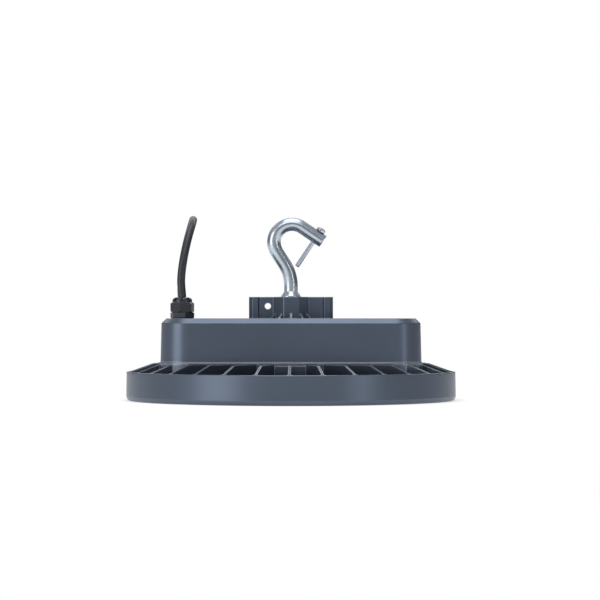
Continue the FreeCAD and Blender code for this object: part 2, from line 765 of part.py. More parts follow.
def pin_placement(along_pin):
    """Where the gate screw's axis stands, from a point so far out from the arm's axis."""
    line = hook_path()
    crossing = line["tip"] - line["along"] * value("pin_from_tip")
    start = crossing + line["out"] * along_pin
    out = Vector(line["out"].x, 0, line["out"].y)
    return Placement(Vector(start.x, 0, start.y), Rotation(UP, out))


def make_gate_screw():
    """A pan-head screw across the hook's mouth, with a cross recess in its head."""
    shank = value("rod_radius")
    head = value("pin_head_height")
    radius = value("pin_radius")
    reach = value("pin_reach")
    profile = Part.makePolygon([
        Vector(0, 0, -reach), Vector(radius - 0.6, 0, -reach), Vector(radius, 0, 0.8 - reach),
        Vector(radius, 0, shank), Vector(value("pin_head_radius"), 0, shank),
        Vector(value("pin_head_radius"), 0, shank + 0.55 * head),
    ])
    dome = Part.Arc(Vector(value("pin_head_radius"), 0, shank + 0.55 * head),
                    Vector(0.6 * value("pin_head_radius"), 0, shank + 0.9 * head),
                    Vector(0, 0, shank + head)).toShape()
    axis = Part.LineSegment(Vector(0, 0, shank + head), Vector(0, 0, -reach)).toShape()
    wire = Part.Wire(profile.Edges + [dome, axis])
    screw = Part.Face(wire).revolve(Vector(), UP, 360)
    for turn in (0, 90):
        slot = Part.makeBox(4.4, 0.9, 1.6, Vector(-2.2, -0.45, shank + head - 1.5))
        slot.rotate(Vector(), UP, turn)
        screw = screw.cut(slot)
    node = solid_node("hook_gate_screw", screw)
    node.Placement = pin_placement(0)
    return node


def hexagon_nut(label, across_flats, height, bore, level, centre_x=0.0):
    """A hexagon nut with chamfered corners, its lower face at this level."""
    radius = across_flats / math.sqrt(3)
    points = [Vector(radius * math.cos(math.radians(60 * k)),
                     radius * math.sin(math.radians(60 * k)), 0) for k in range(7)]
    prism = Part.Face(Part.makePolygon(points)).extrude(Vector(0, 0, height))
    top_radius = across_flats / 2 - 0.2
    foot_radius = top_radius + height / math.tan(math.radians(30))
    prism = prism.common(Part.makeCone(foot_radius, top_radius, height))
    nut = prism.cut(Part.makeCylinder(bore, height))
    nut.translate(Vector(centre_x, 0, level))
    return solid_node(label, nut)


def make_hook_fastening():
    washer = doc.addObject("Part::Cut", "hook_washer")
    washer.Label = "hook_washer"
    disc = doc.addObject("Part::Cylinder", "washer_disc")
    disc.setExpression("Radius", "2 * sizes.rod_radius")
    hole = doc.addObject("Part::Cylinder", "washer_hole")
    hole.setExpression("Radius", "sizes.rod_radius + 0.3")
    for cylinder in (disc, hole):
        cylinder.setExpression("Height", "sizes.washer_height")
    washer.Base = disc
    washer.Tool = hole
    under = value("shell_top - shell_wall - washer_height")
    washer.Placement = Placement(Vector(0, 0, under), Rotation())
    height = value("hook_nut_height")
    nut = hexagon_nut("hook_nut", value("hook_nut_flats"), height, value("rod_radius"),
                      under - height)
    return [washer, nut]


# --- cable gland ----------------------------------------------------------------


def make_gland_body():
    """Hexagon, threaded neck through the roof and the collar for the cap."""
    body = new_body("gland_body")
    hexagon = sketch_on(body, "hexagon_plan", "XY", "shell_top")
    regular_polygon(hexagon, 6, "gland_flats", turn=-14.0)
    pad(body, "hexagon", hexagon, "gland_hex_height")
    roof = value("shell_top")
    chamfer(body, "hexagon_corners", "gland_hex_bevel", lambda edge: level_edge(edge, roof))
    neck = sketch_on(body, "neck_plan", "XY", "shell_top")
    circle(neck, "0", "0", "gland_neck_radius")
    pad(body, "neck", neck, "gland_neck_length", reversed_way=True)
    collar = sketch_on(body, "collar_plan", "XY", "shell_top")
    circle(collar, "0", "0", "gland_collar_radius")
    pad(body, "collar", collar, "gland_hex_height + gland_collar_rise")
    top = "shell_top + gland_hex_height + gland_collar_rise"
    bore = sketch_on(body, "bore_plan", "XY", top)
    circle(bore, "0", "0", "cable_radius + 0.6")
    pocket(body, "bore", bore, "gland_hex_height + gland_neck_length + gland_collar_rise")
    body.Placement.Base.x = -value("gland_offset")
    return body


def make_gland_cap():
    """A domed hexagon cap, with recesses round its dome, that presses the seal on the cable."""
    body = new_body("gland_cap")
    hexagon = sketch_on(body, "cap_plan", "XY", "gland_cap_foot")
    regular_polygon(hexagon, 6, "gland_flats", turn=20.0)
    pad(body, "cap_hexagon", hexagon, "gland_cap_shoulder - gland_cap_foot")
    trim = sketch_on(body, "cap_trim_section", "XZ")
    corner = "0.577350269*gland_flats"
    outline(trim, [
        ("0.5*gland_flats", "gland_cap_foot"),
        (f"{corner} + 0.4", "gland_cap_foot"),
        (f"{corner} + 0.4", "gland_cap_foot + 1.4"),
    ])
    revolve(body, "cap_foot_chamfer", trim, "Groove")
    shoulder = sketch_on(body, "cap_shoulder_section", "XZ")
    outline(shoulder, [
        ("0.5*gland_flats - 0.3", "gland_cap_shoulder"),
        (f"{corner} + 0.4", "gland_cap_shoulder - 1.3"),
        (f"{corner} + 0.4", "gland_cap_shoulder"),
    ])
    revolve(body, "cap_shoulder_chamfer", shoulder, "Groove")

    dome = sketch_on(body, "dome_section", "XZ")
    outline(dome, [
        ("0", "gland_cap_shoulder"),
        ("0.5*gland_flats - 0.7", "gland_cap_shoulder"),
        ("0.5*gland_flats - 0.7", "gland_cap_shoulder + 1.2", "3.2", 1),
        ("0.5*gland_flats - 3.9", "gland_cap_top"),
        ("0", "gland_cap_top"),
    ])
    revolve(body, "dome", dome)
    flute = sketch_on(body, "flute_plan", "XZ")
    outline(flute, [
        ("0.5*gland_flats - 1.9", "gland_cap_shoulder + 1"),
        ("0.5*gland_flats + 1", "gland_cap_shoulder + 1"),
        ("0.5*gland_flats + 1", "gland_cap_top + 1"),
        ("0.5*gland_flats - 5", "gland_cap_top + 1"),
        ("0.5*gland_flats - 5", "gland_cap_top - 1.2"),
    ])
    cut = pocket(body, "flute", flute, "2.6", both_ways=True)
    around_z(body, "flutes", [cut], "flute_count")
    room = sketch_on(body, "cap_room_section", "XZ")
    outline(room, [
        ("0", "gland_cap_foot - 1"),
        ("gland_collar_radius + 0.05", "gland_cap_foot - 1"),
        ("gland_collar_radius + 0.05", "gland_cap_top - 2.6"),
        ("cable_radius + 0.2", "gland_cap_top - 1.2"),
        ("cable_radius + 0.2", "gland_cap_top + 1"),
        ("0", "gland_cap_top + 1"),
    ])
    revolve(body, "cap_room", room, "Groove")
    body.Placement.Base.x = -value("gland_offset")
    return body


def ring(label, inner, outer, foot, height, x=0.0, y=0.0):
    shape = Part.makeCylinder(outer, height).cut(Part.makeCylinder(inner, height))
    shape.translate(Vector(x, y, foot))
    return solid_node(label, shape)


def make_gland_seals():
    x = -value("gland_offset")
    collar_top = value("shell_top + gland_hex_height + gland_collar_rise")
    room_top = value("gland_cap_top - 2.6")
    seal = ring("gland_seal", value("cable_radius"), value("gland_collar_radius - 0.4"),
                collar_top, room_top - collar_top, x)
    section = value("o_ring_section")
    packing = doc.addObject("Part::Torus", "gland_o_ring")
    packing.Label = "gland_o_ring"
    packing.setExpression("Radius1", "sizes.gland_neck_radius + 0.5 * sizes.o_ring_section")
    packing.setExpression("Radius2", "0.5 * sizes.o_ring_section")
    packing.Placement = Placement(Vector(x, 0, value("shell_top") - section / 2), Rotation())
    height = value("locknut_height")
    nut = hexagon_nut("gland_locknut", value("locknut_flats"), height,
                      value("gland_neck_radius"), value("shell_top - shell_wall") - height, x)
    return [seal, packing, nut]


# --- supply cable ---------------------------------------------------------------

# The cable's route from the top of the gland: up, over to the back, down behind the
# light and along the surface it stands on to its coil.
CABLE_ROUTE = [
    Vector(-95.85, 0, 90.4), Vector(-96.45, 0, 97), Vector(-97.15, 0, 106.5),
    Vector(-95.05, 0.6, 124), Vector(-91.35, 8.6, 143), Vector(-87.85, 28, 158.2),
    Vector(-88.25, 52, 162.3), Vector(-92.75, 76, 152), Vector(-99.55, 93, 128.5),
    Vector(-102.65, 103, 100), Vector(-100.15, 111, 71.5), Vector(-108.55, 123, 44),
    Vector(-98.6, 140.5, 17.6), Vector(-72, 151, 4.95), Vector(-47, 156.4, 3.8),
    Vector(-27.5, 156.4, 3.8),
]
COIL_TAIL = (Vector(49.5, 194, 3.8), Vector(55, 224, 3.8))


def rounded_path(points):
    """Straight runs joined by tangent arcs, each as large as its two runs allow."""
    edges = []
    radii = []
    start = points[0]
    for before, corner, after in zip(points, points[1:], points[2:]):
        back = (before - corner).normalize()
        ahead = (after - corner).normalize()
        half_turn = (math.pi - back.getAngle(ahead)) / 2
        shorter = min((before - corner).Length, (after - corner).Length)
        trim = 0.45 * shorter
        radius = trim / math.tan(half_turn)
        radii.append(radius)
        first = corner + back * trim
        last = corner + ahead * trim
        inward = (back + ahead).normalize()
        middle = corner + inward * (radius / math.cos(half_turn) - radius)
        edges.append(Part.LineSegment(start, first).toShape())
        edges.append(Part.Arc(first, middle, last).toShape())
        start = last
    edges.append(Part.LineSegment(start, points[-1]).toShape())
    return Part.Wire(edges), radii


def tube(points, radius):
    path, radii = rounded_path(points)
    circle_edge = Part.makeCircle(radius, points[0], points[1] - points[0])
    return path.makePipeShell([Part.Wire([circle_edge])], True, False), path.Length, radii


def make_cable():
    radius = value("cable_radius")
    shape, length, radii = tube(CABLE_ROUTE, radius)
    section = math.pi * radius ** 2
    print("cable radii", " ".join(f"{r:.0f}" for r in radii))
    print(f"cable tube {length:.1f} mm, volume {shape.Volume:.0f} of {section * length:.0f}")
    free = solid_node("cord_tube", shape)

    middle = value("coil_radius")
    centre = Vector(0, value("coil_centre"), 0)
    edge = 3.0
    outer = middle + 2 * radius + 0.3
    inner = middle - 2 * radius - 0.3
    height = value("coil_height")
    wound = Part.makeCylinder(outer, height).cut(Part.makeCylinder(inner, height))
    rims = [e for e in wound.Edges if e.Curve.TypeId == "Part::GeomCircle"
            and e.BoundBox.ZMin > height - 1e-3]
    wound = wound.makeFillet(edge, rims)
    wound.translate(centre)
    lead_in = rod(CABLE_ROUTE[-1], Vector(-4, CABLE_ROUTE[-1].y, CABLE_ROUTE[-1].z), radius)
    lead_out = rod(COIL_TAIL[0], COIL_TAIL[1], radius)
    coil = solid_node("cord_coil", wound.fuse([lead_in, lead_out]).removeSplitter())

    end = COIL_TAIL[1]
    ahead = (COIL_TAIL[1] - COIL_TAIL[0]).normalize()
    across = Vector(ahead.y, -ahead.x, 0)
    cores = []
    for name, place, lift in (("core_brown", -1, -0.6), ("core_blue", 1, -0.6),
                              ("core_earth", 0, 1.5)):
        start = end + ahead * 0.25 + across * (1.6 * place) + UP * lift
        heading = ahead + across * (0.16 * place) - UP * (0.02 + 0.03 * (place == 0))
        heading.normalize()
        bend = start + heading * value("core_length")
        core = rod(start, bend, value("core_radius"))
        ferrule = rod(bend, bend + heading * value("ferrule_length"),
                      value("ferrule_radius"))
        cores.append(solid_node(name, core.fuse(ferrule)))
    return [free, coil] + cores


def make_inner_cable():
    """The same cable inside the gland, down to its stripped end over the terminals."""
    x = -value("gland_offset")
    stripped = value("strip_level")
    pitch = value("terminal_pitch")
    entry = x + value("terminal_inset")
    tail = rod(Vector(x, 0, stripped), Vector(x, 0, value("gland_cap_top")),
               value("cable_radius"))
    cores = []
    for place in (-1, 0, 1):
        start = Vector(x, 1.9 * place, stripped)
        foot = Vector(entry, pitch * place, value("plate_top + terminal_height + 2"))
        cores.append(rod(start + Vector(0, 0, -1.2), foot, 0.9))
        cores.append(rod(start, start + Vector(0, 0, -1.4), 0.9))
        cores.append(rod(foot + Vector(0, 0, 0.4), foot - Vector(0, 0, 3.0), 0.9))
    wires = [cores[3 * k].fuse([cores[3 * k + 1], cores[3 * k + 2]]) for k in range(3)]
    return [solid_node("cable_tail", tail),
            solid_node("supply_cores", Part.makeCompound(wires))]


# --- driver compartment -----------------------------------------------------------


def make_driver():
    body = new_body("driver_module")
    plan = sketch_on(body, "case_plan", "XY")
    rounded_rectangle(plan, "0.5*driver_length", "0.5*driver_depth", "3")
    pad(body, "case", plan, "driver_height")
    top = value("driver_height")
    fillet(body, "case_edges", "1.5", lambda edge: level_edge(edge, top))
    ears = sketch_on(body, "ear_plan", "XY")
    reach = "0.5*driver_length + ear_length"
    outline(ears, [
        (reach, "- 0.5*driver_depth + 4"),
        (reach, "0.5*driver_depth - 4"),
        (negative(reach), "0.5*driver_depth - 4"),
        (negative(reach), "- 0.5*driver_depth + 4"),
    ])
    pad(body, "ears", ears, "ear_height")
    holes = sketch_on(body, "ear_hole_plan", "XY", "ear_height")
    ear_middle = "0.5*driver_length + 0.5*ear_length"
    for x in (ear_middle, negative(ear_middle)):
        for y in ("ear_hole_offset", "- ear_hole_offset"):
            circle(holes, x, y, "ear_hole")
    pocket(body, "ear_holes", holes, "ear_height")
    body.Placement.Base = Vector(value("driver_offset"), 0, value("plate_top"))
    return body


def pan_screw(x, y, seat, shank_radius, length, head_radius, head_height, up=True):
    """A pan-head screw whose head sits on the seat, above it or below it."""
    way = 1 if up else -1
    head = Part.makeCylinder(head_radius, head_height)
    top = [e for e in head.Edges if e.Curve.TypeId == "Part::GeomCircle"
           and e.BoundBox.ZMin > head_height - 1e-3]
    head = head.makeFillet(0.4 * head_height, top)
    recess = Part.makeBox(1.4 * head_radius, 0.7, 0.5 * head_height,
                          Vector(-0.7 * head_radius, -0.35, 0.55 * head_height))
    head = head.cut(recess)
    recess.rotate(Vector(), UP, 90)
    head = head.cut(recess)
    screw = head.fuse(Part.makeCylinder(shank_radius, length, Vector(), -UP))
    if way < 0:
        screw.rotate(Vector(), Vector(1, 0, 0), 180)
    screw.translate(Vector(x, y, seat))
    return screw


def screw_group(label, places, seat, *sizes, up=True):
    screws = [pan_screw(x, y, seat, *sizes, up=up) for x, y in places]
    return solid_node(label, Part.makeCompound(screws))


def make_screws():
    plate = value("plate_foot")
    return [
        screw_group("housing_screws", HOUSING_SCREWS, value("screw_seat"), *HOUSING_SCREW,
                    up=False),
        screw_group("driver_screws", driver_screw_places(), value("plate_top + ear_height"),
                    *DRIVER_SCREW),
        screw_group("board_screws", BOARD_SCREWS, plate - value("board_thickness"),
                    *BOARD_SCREW, up=False),
        screw_group("lens_screws", LENS_SCREWS, value("lens_flange_foot"), *LENS_SCREW,
                    up=False),
    ]


def make_terminal_block():
    """Three screw terminals in a moulded block."""
    foot = value("plate_top")
    length, depth, height = (value("terminal_" + word) for word in ("length", "depth",
                                                                    "height"))
    entry = value("terminal_inset - gland_offset")
    corner = Vector(entry - 8.3, -depth / 2, foot)
    block = Part.makeBox(length, depth, height, corner)
    upright = [e for e in block.Edges if upright_edge(e)]
    block = block.makeFillet(1.0, upright)
    pitch = value("terminal_pitch")
    for place in (-1, 0, 1):
        y = pitch * place
        block = block.cut(Part.makeCylinder(1.2, 6, Vector(entry, y, foot + height - 5)))
        block = block.cut(Part.makeCylinder(2.0, 2.5, Vector(entry - 5, y,
                                                             foot + height - 2)))
    slit = Part.makeBox(length + 0.2, 1.0, 4.0,
                        Vector(corner.x - 0.1, -0.5, foot + height - 3.5))
    for place in (-0.5, 0.5):
        slit.Placement.Base.y = pitch * place
        block = block.cut(slit)
    return solid_node("terminal_block", block)


def make_led_lead():
    """Two wires from the driver's end, down through the grommet to the LED board."""
    x, y = value("wire_hole_x"), value("wire_hole_y")
    bore = value("wire_hole_radius")
    end = value("driver_offset - 0.5*driver_length")
    wires = []
    for side in (-1.6, 1.6):
        points = [Vector(x, y + side, value("plate_foot")), Vector(x, y + side, 24),
                  Vector(end - 0.5, y + side - 10, 24)]
        path, _ = rounded_path(points)
        profile = Part.Wire([Part.makeCircle(1.1, points[0], points[1] - points[0])])
        wires.append(path.makePipeShell([profile], True, False))
    lead = solid_node("led_lead", Part.makeCompound(wires))
    grommet = Part.makeCylinder(bore, value("plate_top - plate_foot"),
                                Vector(x, y, value("plate_foot")))
    grommet = grommet.fuse(Part.makeCylinder(bore + 2, 1.4, Vector(x, y, value("plate_top"))))
    for side in (-1.6, 1.6):
        grommet = grommet.cut(Part.makeCylinder(1.1, 12, Vector(x, y + side, 5)))
    return [lead, solid_node("wire_grommet", grommet)]


# --- light engine ------------------------------------------------------------------


def dome_places():
    """Rings of domes round the middle: 6, 12 and 18."""
    places = []
    for number in (1, 2, 3):
        radius = number * value("ring_pitch") - 1.0
        for index in range(6 * number):
            angle = 2 * math.pi * (index + 0.5) / (6 * number)
            places.append((radius * math.cos(angle), radius * math.sin(angle)))
    return places


def make_led_board():
    foot = value("plate_foot - board_thickness")
    board = Part.makeCylinder(value("board_radius"), value("board_thickness"),
                              Vector(0, 0, foot))
    for x, y in BOARD_SCREWS:
        board = board.cut(Part.makeCylinder(1.5, 10, Vector(x, y, 0)))
    side = value("chip_side")
    height = value("chip_height")
    half_pitch = value("0.5*chip_pitch")
    chips = []
    for x, y in dome_places():
        for across in (-half_pitch, half_pitch):
            for along in (-half_pitch, half_pitch):
                corner = Vector(x + across - side / 2, y + along - side / 2, foot - height)
                chips.append(Part.makeBox(side, side, height, corner))
    return [solid_node("led_board", board),
            solid_node("led_chips", Part.makeCompound(chips))]


def make_lens():
    """A clear plate with a flange, and a dome standing down under each group of LEDs."""
    flange = Part.makeCylinder(value("lens_radius"),
                               value("lens_flange_top - lens_flange_foot"),
                               Vector(0, 0, value("lens_flange_foot")))
    inner = value("lens_flange_inner")
    flange = flange.cut(Part.makeCylinder(inner, 10))
    sheet_height = value("lens_sheet_top - lens_sheet_foot")
    plate = Part.makeCylinder(inner + 2.4, sheet_height,
                              Vector(0, 0, value("lens_sheet_foot")))
    lens = plate.fuse(flange)
    rise = value("dome_rise")
    radius = value("dome_radius")
    ball = (radius ** 2 + rise ** 2) / (2 * rise)
    cap_height = Vector(0, 0, value("lens_sheet_foot") + ball - rise)
    domes = []
    for x, y in dome_places():
        sphere = Part.makeSphere(ball, Vector(x, y, 0) + cap_height)
        slab = Part.makeCylinder(radius + 1, rise + 0.3,
                                 Vector(x, y, value("lens_sheet_foot") - rise))
        domes.append(sphere.common(slab))
    lens = lens.fuse(domes).removeSplitter()
    for x, y in LENS_SCREWS:
        lens = lens.cut(Part.makeCylinder(1.7, 10, Vector(x, y, 0)))
    gasket = ring("lens_gasket", value("lens_flange_inner + 0.4"),
                  value("lens_flange_inner + 3"), value("lens_flange_top"),
                  value("plate_foot - lens_flange_top"))
    return [solid_node("lens_plate", lens), gasket]


def make_housing_gasket():
    body = new_body("housing_gasket")
    plan = sketch_on(body, "gasket_plan", "XY", "platform_top")
    rounded_rectangle(plan, "platform_half_length - 0.6", "platform_half_depth - 0.6",
                      "platform_corner - 0.6")
    rounded_rectangle(plan, "platform_half_length - platform_wall + 0.6",
                      "platform_half_depth - platform_wall + 0.6",
                      "platform_corner - platform_wall + 0.6")
    pad(body, "gasket", plan, "gasket_height")
    return body


def build_all():
    nodes = [make_heat_sink(), make_driver_housing(), make_housing_gasket(), make_hook(),
             make_gate_screw()]
    nodes += make_hook_fastening()
    nodes += [make_gland_body(), make_gland_cap()]
    nodes += make_gland_seals()
    nodes += make_cable()
    nodes += make_inner_cable()
    nodes += [make_driver(), make_terminal_block()]
    nodes += make_led_lead()
    nodes += make_screws()
    nodes += make_led_board()
    nodes += make_lens()
    return nodes


def check(nodes):
    """Stops at a failed object or a bad solid before anything is written."""
    doc.recompute()
    for thing in doc.Objects:
        if any(word in thing.State for word in ("Invalid", "Error")):
            raise RuntimeError(f"{thing.Label}: {thing.State}")
    for node in nodes:
        if node.Shape.isNull() or not node.Shape.isValid():
            raise RuntimeError(f"{node.Label}: bad shape")


nodes = build_all()
check(nodes)
os.makedirs("parts", exist_ok=True)
for node in nodes:
    node.Shape.exportStep(os.path.join("parts", node.Label + ".step"))
    solids = len(node.Shape.Solids)
    print(f"{node.Label:16s} {solids:3d} solid(s) {node.Shape.Volume:12.1f} mm3")
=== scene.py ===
# %% [markdown]
# # A high bay light
#
# This notebook dresses a round industrial light: a finned ring heat sink, a cast driver
# housing with a rod hook on top, a cable gland and the supply cable. The solids come from
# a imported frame. What follows gives them light, a camera, a cable that bends like rubber,
# small parts that a casting drawing leaves out, and finishes that hold up close.

# %% Load the frame
import math

import bpy
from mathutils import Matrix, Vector


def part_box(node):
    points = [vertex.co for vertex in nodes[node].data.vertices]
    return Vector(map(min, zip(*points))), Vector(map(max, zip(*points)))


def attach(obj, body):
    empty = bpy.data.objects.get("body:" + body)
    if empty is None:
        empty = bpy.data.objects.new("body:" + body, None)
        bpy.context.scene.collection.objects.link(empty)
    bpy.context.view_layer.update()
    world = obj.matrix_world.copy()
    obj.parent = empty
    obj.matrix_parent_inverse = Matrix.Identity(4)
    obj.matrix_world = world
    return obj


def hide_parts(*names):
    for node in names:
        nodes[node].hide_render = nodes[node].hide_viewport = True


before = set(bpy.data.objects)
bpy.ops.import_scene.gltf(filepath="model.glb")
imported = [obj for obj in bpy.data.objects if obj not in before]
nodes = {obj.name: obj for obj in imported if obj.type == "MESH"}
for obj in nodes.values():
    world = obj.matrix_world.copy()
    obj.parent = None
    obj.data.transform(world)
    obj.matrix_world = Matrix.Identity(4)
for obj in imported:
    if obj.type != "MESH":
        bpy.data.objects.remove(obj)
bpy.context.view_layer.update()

MM = 0.001
print("pieces in the frame:", len(nodes))

# %% [markdown]
# ## Camera
#
# The light is seen from the front, at about the height of its driver housing, with a long
# lens from two metres away. A long lens keeps the ring's ellipse thin, as it looks in a
# catalogue. The camera looks level, and a small lens shift frames the light, so that
# uprights stay upright.

# %% Camera
CAMERA_DISTANCE = 1.965
CAMERA_LEVEL = 0.0705
FOCAL_MM = 133.68
FRAME_SHIFT = (0.015, 0.0333)

bpy.ops.object.camera_add(location=(0, -CAMERA_DISTANCE, CAMERA_LEVEL),
                          rotation=(math.radians(90), 0, 0))
camera = bpy.context.object
camera.data.lens = FOCAL_MM
camera.data.sensor_width = 36.0
camera.data.shift_x, camera.data.shift_y = FRAME_SHIFT
camera.data.clip_end = 80.0
bpy.context.scene.camera = camera

# %% [markdown]
# ## The supply cable
#
# A real cable has one length and bends where its stiffness lets it. The route below is a
# short list of places that it passes near: out of the gland, up and over to the back, down
# behind the light and along the bench. A smooth curve of order three cuts inside each
# place, which gives the slow bends of a rubber jacket. What is left of the metre is wound
# into a coil behind the light. Its turns come from a loop, because a spiral is easier to
# say as a rule than as points.

# %% Route of the cable, in millimetres
ROUTE = [
    (-95.85, 0, 90.4), (-96.45, 0, 97), (-97.15, 0, 106.5), (-95.05, 0.6, 124),
    (-91.35, 8.6, 143), (-87.85, 28, 158.2), (-88.25, 52, 162.3), (-92.75, 76, 152),
    (-99.55, 93, 128.5), (-102.65, 103, 100), (-100.15, 111, 71.5), (-108.55, 123, 44),
    (-98.6, 140.5, 17.6), (-72, 151, 4.95), (-47, 156.4, 3.8), (-18, 156.4, 3.8),
]
CABLE_DIAMETER = 7.2
LYING = 3.8
COIL_CENTRE = (0, 202)
COIL_RADIUS = 42.0
POINTS_PER_TURN = 16
TURNS = 2.25

# Where along the coil, in turns, the cable changes track, and by how many diameters.
STEP_IN, INWARD = (0.8, 1.2), 1.03
STEP_OUT, OUTWARD = (1.85, 2.3), 2.05
CLIMB, DESCENT, HUMP = (1.8, 2.0), (2.06, 2.28), 1.3


def ease(start, end, turn):
    """0 before start, 1 after end and smooth between them."""
    share = min(max((turn - start) / (end - start), 0), 1)
    return share * share * (3 - 2 * share)


def coil_points():
    """One turn on the outer track, one on the inner, then out over the top in a hump."""
    outer = COIL_RADIUS + CABLE_DIAMETER / 2
    widen = 1 / math.cos(math.pi / POINTS_PER_TURN)
    points = []
    for step in range(1, int(TURNS * POINTS_PER_TURN)):
        turn = step / POINTS_PER_TURN
        radius = outer - INWARD * CABLE_DIAMETER * ease(*STEP_IN, turn)
        radius += OUTWARD * CABLE_DIAMETER * ease(*STEP_OUT, turn)
        hump = ease(*CLIMB, turn) - ease(*DESCENT, turn)
        height = LYING + HUMP * CABLE_DIAMETER * hump
        angle = math.radians(-90 + 360 * turn)
        points.append((COIL_CENTRE[0] + widen * radius * math.cos(angle),
                       COIL_CENTRE[1] + widen * radius * math.sin(angle), height))
    return points


TAIL = [(52.1, 208, LYING), (55, 224, LYING)]
cable_points = ROUTE + coil_points() + TAIL

# %% [markdown]
# The points become one NURBS spline. The order and the end-point setting come after the
# points: set before, they fall back to straight runs.

# %% Build the cable
bpy.ops.object.select_all(action="DESELECT")
cable_line = bpy.data.curves.new("supply_cable", "CURVE")
cable_line.dimensions = "3D"
spline = cable_line.splines.new("NURBS")
spline.points.add(len(cable_points) - 1)
for point, place in zip(spline.points, cable_points):
    point.co = (place[0] * MM, place[1] * MM, place[2] * MM, 1)
    point.radius = CABLE_DIAMETER / 2 * MM
spline.order_u = 3
spline.use_endpoint_u = True
cable_line.resolution_u = 8
cable_line.bevel_depth = 1.0
cable_line.bevel_resolution = 7
cable_line.use_fill_caps = True
cable = bpy.data.objects.new("supply_cable", cable_line)
bpy.context.collection.objects.link(cable)

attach(cable, "root")
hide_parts("cord_tube", "cord_coil")
print("cable control points:", len(cable_points))

# %% [markdown]
# ## Node helpers
#
# World, paper and finishes are all node trees. A few helpers keep them short enough to
# read: one adds a node, one joins two sockets, and the others stand for the handful of
# nodes that come up again and again. Where a helper takes a value, it may be a socket or
# a plain number.

# %% Node helpers


def add(tree, kind, **settings):
    """Adds a node; a key that names a socket sets its value, others set a property."""
    node = tree.nodes.new(kind)
    for key, setting in settings.items():
        if hasattr(node, key):
            setattr(node, key, setting)
        else:
            node.inputs[key].default_value = setting
    return node


def join(tree, source, target):
    tree.links.new(source, target)


def feed(tree, value, target):
    """Joins a socket to the target, or writes a plain number into it."""
    if isinstance(value, (int, float)):
        target.default_value = value
    else:
        join(tree, value, target)


def calculate(tree, operation, *values):
    """A Math node."""
    node = add(tree, "ShaderNodeMath", operation=operation)
    for side, value in enumerate(values):
        feed(tree, value, node.inputs[side])
    return node.outputs[0]


def ramp(tree, value, low, high, most=1.0):
    """Rises smoothly from 0 at low to most at high."""
    node = add(tree, "ShaderNodeMapRange", interpolation_type="SMOOTHSTEP")
    node.inputs["From Min"].default_value = low
    node.inputs["From Max"].default_value = high
    node.inputs["To Max"].default_value = most
    join(tree, value, node.inputs["Value"])
    return node.outputs[0]


def noise(tree, per_metre, **settings):
    """Noise that is fixed to the object, so that it moves with it."""
    where = add(tree, "ShaderNodeTexCoord")
    node = add(tree, "ShaderNodeTexNoise", **settings)
    join(tree, where.outputs["Object"], node.inputs["Vector"])
    feed(tree, per_metre, node.inputs["Scale"])
    return node.outputs["Fac"]


def mix_shader(tree, share, first, second):
    node = add(tree, "ShaderNodeMixShader")
    for side, source in enumerate((share, first, second)):
        join(tree, source, node.inputs[side])
    return node.outputs[0]


def kinds_of_ray(tree):
    """Masks of the camera's rays, also through clear plastic, and of mirror rays."""
    ray = add(tree, "ShaderNodeLightPath")
    straight = calculate(tree, "MAXIMUM", ray.outputs["Is Camera Ray"],
                         ray.outputs["Is Transmission Ray"])
    return straight, ray.outputs["Is Glossy Ray"]


# %% [markdown]
# ## World and ground
#
# Product pictures are taken in a tent with a white sheet behind the object and dimmer
# cloth round the sides. Metal then shows pale edges where it turns away from the camera
# and dark stretches beside them. The same is done here with a world whose strength
# depends on the direction: full straight behind the light, low at the sides, a little
# more on the left and in front. The camera sees plain white everywhere, straight or
# through the clear lens, and metal sees that white where the sheet hangs.

# %% World
scene = bpy.context.scene
scene.view_settings.view_transform = "Standard"

SIDE_STRENGTH = 0.12
SHEET_FROM = 0.965      # cosine of the angle from straight back at which the sheet begins
TENT_PARTS = [
    # axis, where it starts, where it is full, added strength
    ("Y", 0.94, 0.995, 0.60),
    ("Y", -0.45, -0.98, 0.12),
    ("X", -0.15, -0.95, 0.22),
    ("Z", 0.10, 0.80, 0.30),
]

world = bpy.data.worlds.new("tent")
scene.world = world
world.use_nodes = True
tree = world.node_tree
tree.nodes.clear()

facing = add(tree, "ShaderNodeTexCoord")
parts = add(tree, "ShaderNodeSeparateXYZ")
join(tree, facing.outputs["Generated"], parts.inputs[0])
strength = SIDE_STRENGTH
for axis, low, high, gain in TENT_PARTS:
    share = ramp(tree, parts.outputs[axis], low, high, gain)
    strength = calculate(tree, "ADD", share, strength)

tent = add(tree, "ShaderNodeBackground", Color=(0.93, 0.96, 1.0, 1))
white = add(tree, "ShaderNodeBackground", Color=(1, 1, 1, 1), Strength=1.0)
out = add(tree, "ShaderNodeOutputWorld")
straight, mirrored = kinds_of_ray(tree)
sheet = ramp(tree, parts.outputs["Y"], SHEET_FROM, 1.0)
plain = calculate(tree, "MAXIMUM", straight, calculate(tree, "MULTIPLY", sheet, mirrored))
join(tree, strength, tent.inputs["Strength"])
join(tree, mix_shader(tree, plain, tent.outputs[0], white.outputs[0]),
     out.inputs["Surface"])

# %% [markdown]
# The ground is a sheet of white paper. A real sheet under lamps is only as white as its
# light, so for the camera, and in every mirror or clear piece, it also glows a little: the
# open paper reaches full white and the shadow at the rim's foot stays. Far out the paper
# fades into plain white, so that no line shows where it ends.

# %% Ground
PAPER_SIZE = 60.0
PAPER_GREY = 0.60
PAPER_GLOW = 0.50
FADE_FROM, FADE_TO = 0.35, 1.1

bpy.ops.mesh.primitive_plane_add(size=PAPER_SIZE, location=(0, 0, 0))
paper_sheet = bpy.context.object
paper_sheet.name = "paper_sheet"

